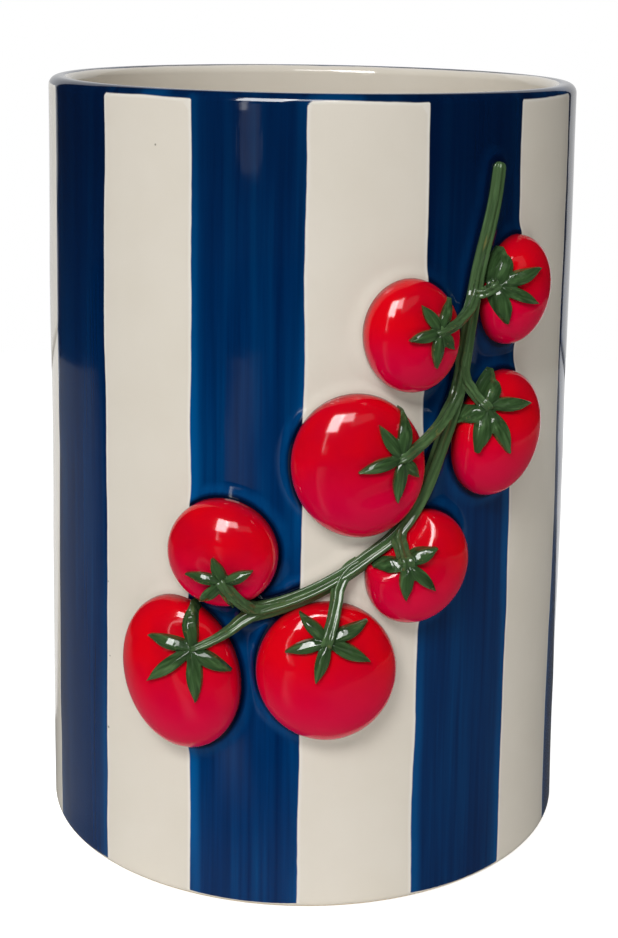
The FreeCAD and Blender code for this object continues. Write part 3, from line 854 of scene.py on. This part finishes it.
def makeVine():
    path = vine["path"]
    route = []
    for left, inward, down, narrow in vine["forkPoint"]:
        along, up = path[0]
        route.append((along - left, vine["standOff"] - inward, up - down, vine["width"] * narrow))
    for index, (along, up) in enumerate(path):
        share = index / (len(path) - 1)
        width = vine["width"] + (vine["tipWidth"] - vine["width"]) * share
        route.append((along, vine["standOff"], up, width))
    roundEnd(route, *vine["tipHeading"], 0)
    stem = makeStem("glazed_vine", route, vine["twist"])
    settle(stem, leafGlaze, "leaf_green_glaze", "vine_stem")


# a stalk starts inside the vine at shares of its lead, rises to its full height over riseBy of its length,
# and its rounded end drops to the calyx
stalk = {"steps": 6, "leads": (1, 0.5), "leadWidth": 0.8, "proud": 0.6, "rise": 0.2, "riseBy": 0.4,
         "bow": 0.7, "waist": 0.82, "twist": 0.5, "drop": 2.2}


def makeStalk(name):
    # runs out of the vine along its grain, turns off to the calyx and ends in a rounded knuckle
    fruit = fruits[name]
    footAlong, footUp = fruit["foot"]
    hubAlong, hubUp = fruit["hub"]
    footWidth, hubWidth = fruit["stalkWidths"]
    run = besidePath(vine["path"], footAlong, footUp)[1]
    route, marks = [], []
    for back in stalk["leads"]:
        along, up = vinePoint(run + back * fruit["lead"])
        route.append((along, vine["standOff"], up, vine["width"] * stalk["leadWidth"]))
    for step in range(stalk["steps"] + 1):
        share = step / stalk["steps"]
        along = footAlong + (hubAlong - footAlong) * share
        up = footUp + (hubUp - footUp) * share - stalk["bow"] * math.sin(math.pi * share)
        seat = max(domeHeight(name, along, up), vine["standOff"] * (1 - share)) if step else vine["standOff"]
        marks.append((share, along, up, seat))
    for share, along, up, seat in marks[1:]:
        for start, _, _, low in marks:  # taut over the fruit: no dip between any two marks
            for end, _, _, high in marks:
                if start <= share <= end and start < end:
                    seat = max(seat, low + (high - low) * (share - start) / (end - start))
        waist = 1 - (1 - stalk["waist"]) * math.sin(math.pi * share)
        width = (footWidth + (hubWidth - footWidth) * share) * waist
        proud = width / 2 * stalk["proud"] + stalk["rise"] * share
        route.append((along, seat + proud * smoothStep(0, stalk["riseBy"], share), up, width))
    reach = math.dist((footAlong, footUp), (hubAlong, hubUp))
    roundEnd(route, (hubAlong - footAlong) / reach, (hubUp - footUp) / reach, stalk["drop"])
    stem = makeStem("glazed_stalk_" + name, route, stalk["twist"])
    settle(stem, leafGlaze, "leaf_green_glaze", "stalk_" + name)


makeVine()
for name in fruits:
    makeStalk(name)
bpy.data.objects.remove(stemSection)
print("vine and stalks:", len(fruits) + 1)


# Studio: pale floor, cards, softboxes, camera, in metres

studio = {"floorRadius": 0.54, "floorSides": 96, "floorSeen": "#f4f4f2", "floorInGlaze": "#8c8c8a",
          "floorRoughness": 0.9, "floorGlow": 0.75, "floorBounce": 0.14,
          "worldWhite": 1.0, "worldFill": 0.245, "worldGloss": 0.015, "aim": (0, -0.06, 0.1)}

# eye about 425 mm from the axis, a little above the rim, tilted down, the frame cropped below the lens axis
# angles are in degrees, the focal length and the frame's height in pixels, shift in frame heights
eye = {"place": (0, -0.4243, 0.2095), "pan": -0.7, "tiltDown": 9.35, "roll": 0.945, "focalPixels": 1699.4,
       "frameHeight": 938, "shift": (-0.0237, -0.2217), "sensor": 36, "clip": (0.01, 20)}


def makeFloor():
    clearSelection()
    bpy.ops.mesh.primitive_circle_add(vertices=studio["floorSides"], radius=studio["floorRadius"],
                                      fill_type="NGON", location=(0, 0, 0))
    floor = bpy.context.active_object
    floor.name = "studio_floor"
    # lit from below, so no shadow stays in the picture
    material, shader, add = newMaterial("white_light_table")
    rays = add("LightPath").outputs
    board = add("Mix", {"Factor": rays["Is Glossy Ray"], "A": studio["floorSeen"],
                        "B": studio["floorInGlaze"]}, **inColour)
    glow = add("Math", {0: rays["Is Camera Ray"], 1: studio["floorGlow"]}, operation="MULTIPLY")
    bounce = add("Math", {0: rays["Is Diffuse Ray"], 1: studio["floorBounce"], 2: glow},
                 operation="MULTIPLY_ADD")
    setInputs(material, shader, {"Base Color": board, "Roughness": studio["floorRoughness"],
                                 "Emission Color": "#ffffff", "Emission Strength": bounce})
    floor.data.materials.append(material)


def makeCard(name, size, place, turn, glow, nearShare=1.0, tilt=0, soft=(0.02, 0.02)):
    # only the glaze's reflections see a card: turn and tilt are in degrees, nearShare narrows its near edge,
    # soft is the share of each side over which it fades
    clearSelection()
    bpy.ops.mesh.primitive_plane_add(size=1)
    card = bpy.context.active_object
    card.name = name
    setMode("EDIT")
    pick(card, "VERT", lambda vertex: vertex.co.y > 0)
    bpy.ops.transform.resize(value=(nearShare, 1, 1), center_override=(0, 0, 0))
    setMode("OBJECT")
    card.scale = (*size, 1)
    card.rotation_euler = (math.radians(tilt), 0, math.radians(turn))
    card.location = place
    applyPlace()
    material, shader, add = newMaterial(name)
    sides = add("SeparateXYZ", {"Vector": add("TexCoord").outputs["UV"]})
    fades = []
    for axis, reach in zip(("X", "Y"), soft):
        inward = add("Math", {0: sides.outputs[axis], 1: 0.5}, operation="PINGPONG")
        fades.append(add("MapRange", {"Value": inward, "From Max": reach}, **smooth))
    cover = add("Math", dict(enumerate(fades)), operation="MULTIPLY")
    setInputs(material, shader, {"Base Color": "#000000", "Roughness": 1.0, "Specular IOR Level": 0.0,
                                 "Emission Color": "#ffffff", "Emission Strength": glow, "Alpha": cover})
    card.data.materials.append(material)
    card.visible_camera = False
    card.visible_diffuse = False
    card.visible_shadow = False


def makeWorld():
    # white to the eye, a soft fill on the clay, nearly dark in the reflections
    world = bpy.data.worlds.new("studio")
    world.use_nodes = True
    bpy.context.scene.world = world
    rays = addNode(world, "LightPath").outputs
    gloss = addNode(world, "Mix", {"Factor": rays["Is Glossy Ray"], "A": studio["worldFill"],
                                   "B": studio["worldGloss"]}, data_type="FLOAT")
    strength = addNode(world, "Mix", {"Factor": rays["Is Camera Ray"], "A": gloss, "B": studio["worldWhite"]},
                       data_type="FLOAT")
    setInputs(world, world.node_tree.nodes["Background"], {"Strength": strength, "Color": "#ffffff"})


def addSoftbox(name, turn, rise, distance, size, power, onClay=True, onGlaze=True):
    # turn is to the right of the camera seen from the jar, rise above the horizon, in degrees, power in watts
    # onClay lights the colour, onGlaze shows as a highlight
    light = bpy.data.lights.new(name, "AREA")
    light.shape = "RECTANGLE"
    light.size, light.size_y = size
    light.energy = power
    box = addObject(name, light)
    turn, rise = math.radians(turn), math.radians(rise)
    toLight = Vector((math.sin(turn) * math.cos(rise), -math.cos(turn) * math.cos(rise), math.sin(rise)))
    box.location = Vector(studio["aim"]) + toLight * distance
    box.rotation_euler = toLight.to_track_quat("Z", "Y").to_euler()
    box.visible_camera = False
    box.visible_diffuse, box.visible_glossy = onClay, onGlaze


def makeCamera():
    data = bpy.data.cameras.new("camera")
    data.sensor_width = eye["sensor"]
    data.lens = eye["focalPixels"] * data.sensor_width / eye["frameHeight"]
    data.shift_x, data.shift_y = eye["shift"]
    data.clip_start, data.clip_end = eye["clip"]
    camera = addObject("camera", data)
    pan = Matrix.Rotation(math.radians(eye["pan"]), 4, "Z")
    tilt = Matrix.Rotation(math.radians(90 - eye["tiltDown"]), 4, "X")
    roll = Matrix.Rotation(math.radians(eye["roll"]), 4, "Z")
    camera.matrix_world = Matrix.Translation(eye["place"]) @ pan @ tilt @ roll
    bpy.context.scene.camera = camera


makeFloor()
# keeps the table's shine out of the blue
makeCard("black_card", size=(2.0, 1.0), place=(-0.171, -0.518, 0.0004), turn=-20, glow=0, soft=(0.02, 0.1))
# a duller table on the right
makeCard("dim_card", size=(0.45, 0.46), place=(0.22, -0.03, 0.0006), turn=0, glow=0.09, soft=(0.1, 0.1))
# one soft streak down the second stripe
makeCard("grey_card", size=(0.2, 0.54), place=(-0.146, -0.335, 0.0008), turn=-25.5, glow=0.3, nearShare=0.2,
         soft=(0.5, 0.08))
# white round both edges of the jar
makeCard("white_table_end", size=(0.8, 0.43), place=(-0.02, 0.245, 0.0008), turn=180, glow=0.85,
         nearShare=0.17)
makeCard("white_backdrop", size=(0.8, 0.6), place=(-0.03, 0.46, 0.3), turn=0, glow=0.7, tilt=90)
makeWorld()
addSoftbox("key_light", turn=-24, rise=43, distance=2.4, size=(0.8, 0.72), power=29.4, onGlaze=False)
addSoftbox("far_light", turn=-1, rise=45, distance=2.4, size=(0.8, 0.43), power=8.8, onGlaze=False)
addSoftbox("key_window", turn=-24, rise=41, distance=1.4, size=(0.47, 0.74), power=16.4, onClay=False)
addSoftbox("far_window", turn=-1, rise=48, distance=1.4, size=(0.47, 0.38), power=4.3, onClay=False)
addSoftbox("back_fill", turn=180, rise=35, distance=2.4, size=(1.2, 0.9), power=8, onGlaze=False)
addSoftbox("side_window", turn=26, rise=40, distance=1.4, size=(0.78, 0.37), power=0.35)
addSoftbox("high_strip", turn=-30, rise=15, distance=0.6, size=(0.03, 0.24), power=0.068)
addSoftbox("low_strip", turn=-27, rise=5.5, distance=0.6, size=(0.09, 0.1), power=0.011)
makeCamera()
bpy.context.scene.view_settings.view_transform = "Standard"
print("studio: floor, cards, lights, camera")
